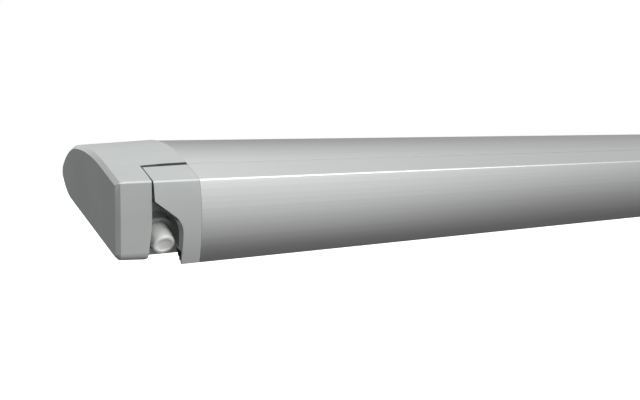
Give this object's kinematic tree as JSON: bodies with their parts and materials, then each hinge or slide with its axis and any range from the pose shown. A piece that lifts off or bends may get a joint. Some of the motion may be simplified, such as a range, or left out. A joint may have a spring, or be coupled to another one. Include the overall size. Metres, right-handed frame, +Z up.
{
  "type": "roll-out cassette awning",
  "caption": "Roll-out cassette awning for a caravan or camper: aluminium case with grey plastic ends, crank drive, folding arms, rolled canopy, and a lead rail with fold-down legs.",
  "frame": {"origin": "middle of the flat back of the case", "axes": "+X along the case to the right as seen from the front, +Y to the vehicle, +Z up"},
  "size_m": [2.6, 0.1929, 0.115],
  "materials": {
    "anodised": "brushed and anodised",
    "cap_plastic": "fine satin grain",
    "coupler_plastic": "satin",
    "cast_alloy": "cast and blasted",
    "steel": "plated",
    "black_plastic": "satin",
    "rubber": "matt",
    "cloth": "coated weave"
  },
  "bodies": {
    "case": {"case_profile": "anodised", "end_cap_left": "cap_plastic", "end_cap_right": "cap_plastic", "end_plate_left": "cast_alloy", "end_plate_right": "cast_alloy", "end_plate_screws": "steel", "roller_bushes": "black_plastic", "shoulder_bracket_left": "cast_alloy", "shoulder_bracket_right": "cast_alloy", "shoulder_pins": "steel", "gearbox_inner": "cap_plastic", "gearbox_outer": "cap_plastic", "blanking_plug": "cap_plastic"},
    "roller": {"roller_tube": "anodised", "roller_plug_left": "cast_alloy", "roller_plug_right": "cast_alloy", "worm_wheel": "steel", "canopy_roll": "cloth"},
    "crank": {"worm_shaft": "steel", "crank_coupler": "coupler_plastic"},
    "canopy": {"canopy_sheet": "cloth"},
    "lead_rail": {"lead_rail": "anodised", "rail_cap_left": "cap_plastic", "rail_cap_right": "cap_plastic", "bottom_seal": "rubber", "canopy_bead": "cloth", "wrist_bracket_left": "cast_alloy", "wrist_bracket_right": "cast_alloy", "wrist_pins": "steel", "leg_bracket_left": "cast_alloy", "leg_bracket_right": "cast_alloy", "leg_pins": "steel"},
    "upper_arm_left": {"upper_arm_left": "anodised", "shoulder_knuckle_left": "cast_alloy", "elbow_fork_left": "cast_alloy", "elbow_pin_left": "steel", "arm_spring_left": "steel"},
    "forearm_left": {"forearm_left": "anodised", "elbow_tongue_left": "cast_alloy", "wrist_knuckle_left": "cast_alloy"},
    "leg_left": {"leg_tube_left": "anodised", "leg_hinge_left": "cast_alloy", "leg_collar_left": "black_plastic"},
    "leg_inner_left": {"leg_inner_left": "anodised", "leg_foot_left": "black_plastic"},
    "leg_lever_left": {"leg_lever_left": "black_plastic"},
    "upper_arm_right": {"upper_arm_right": "anodised", "shoulder_knuckle_right": "cast_alloy", "elbow_fork_right": "cast_alloy", "elbow_pin_right": "steel", "arm_spring_right": "steel"},
    "forearm_right": {"forearm_right": "anodised", "elbow_tongue_right": "cast_alloy", "wrist_knuckle_right": "cast_alloy"},
    "leg_right": {"leg_tube_right": "anodised", "leg_hinge_right": "cast_alloy", "leg_collar_right": "black_plastic"},
    "leg_inner_right": {"leg_inner_right": "anodised", "leg_foot_right": "black_plastic"},
    "leg_lever_right": {"leg_lever_right": "black_plastic"}
  },
  "joints": [
    {"name": "shoulder_left", "type": "hinge", "parent": "case", "child": "upper_arm_left", "pos_m": [-1.19, -0.09466, -0.01931], "axis": [0, 0.2588, -0.9659], "range_deg": [0, 74]},
    {"name": "elbow_left", "type": "hinge", "parent": "upper_arm_left", "child": "forearm_left", "pos_m": [-0.14007, -0.10674, -0.02255], "axis": [0, -0.2588, 0.9659], "range_deg": [0, 148]},
    {"name": "wrist_left", "type": "hinge", "parent": "forearm_left", "child": "lead_rail", "pos_m": [-1.19, -0.11881, -0.02578], "axis": [0, 0.2588, -0.9659], "range_deg": [0, 74]},
    {"name": "shoulder_right", "type": "hinge", "parent": "case", "child": "upper_arm_right", "pos_m": [1.19, -0.09466, -0.01931], "axis": [0, -0.2588, 0.9659], "range_deg": [0, 74]},
    {"name": "elbow_right", "type": "hinge", "parent": "upper_arm_right", "child": "forearm_right", "pos_m": [0.14007, -0.10674, -0.02255], "axis": [0, 0.2588, -0.9659], "range_deg": [0, 148]},
    {"name": "roller_spin", "type": "hinge", "parent": "case", "child": "roller", "pos_m": [0, -0.05281, 0.00227], "axis": [1, 0, 0], "range_deg": [0, 4847]},
    {"name": "crank_spin", "type": "hinge", "parent": "case", "child": "crank", "pos_m": [-1.2512, -0.06008, 0.01305], "axis": [0, 0.829, 0.5592], "range_deg": [0, 33929]},
    {"name": "canopy_feed", "type": "slide", "parent": "lead_rail", "child": "canopy", "axis": [0, 0.9659, 0.2588], "range_m": [0, 2.0004], "deforming": ["canopy_sheet"]},
    {"name": "leg_swing_left", "type": "hinge", "parent": "lead_rail", "child": "leg_left", "pos_m": [-1.19, -0.1597, -0.04], "axis": [0, 1, 0], "range_deg": [0, 90]},
    {"name": "leg_extend_left", "type": "slide", "parent": "leg_left", "child": "leg_inner_left", "axis": [1, 0, 0], "range_m": [0, 0.95]},
    {"name": "leg_lock_left", "type": "hinge", "parent": "leg_left", "child": "leg_lever_left", "pos_m": [-0.032, -0.1597, -0.0561], "axis": [0, -1, 0], "range_deg": [0, 80]},
    {"name": "leg_swing_right", "type": "hinge", "parent": "lead_rail", "child": "leg_right", "pos_m": [1.19, -0.1453, -0.04], "axis": [0, -1, 0], "range_deg": [0, 90]},
    {"name": "leg_extend_right", "type": "slide", "parent": "leg_right", "child": "leg_inner_right", "axis": [-1, 0, 0], "range_m": [0, 0.95]},
    {"name": "leg_lock_right", "type": "hinge", "parent": "leg_right", "child": "leg_lever_right", "pos_m": [0.032, -0.1453, -0.0561], "axis": [0, 1, 0], "range_deg": [0, 80]}
  ],
  "couplings": [
    {"joint": "elbow_left", "follows": "shoulder_left", "ratio": 2},
    {"joint": "wrist_left", "follows": "shoulder_left", "ratio": 1},
    {"joint": "shoulder_right", "follows": "shoulder_left", "ratio": 1},
    {"joint": "elbow_right", "follows": "shoulder_left", "ratio": 2},
    {"joint": "roller_spin", "follows": "shoulder_left", "ratio": 65.5},
    {"joint": "crank_spin", "follows": "shoulder_left", "ratio": 458.5},
    {"joint": "canopy_feed", "follows": "shoulder_left", "m_per_rad": 1.5488}
  ]
}
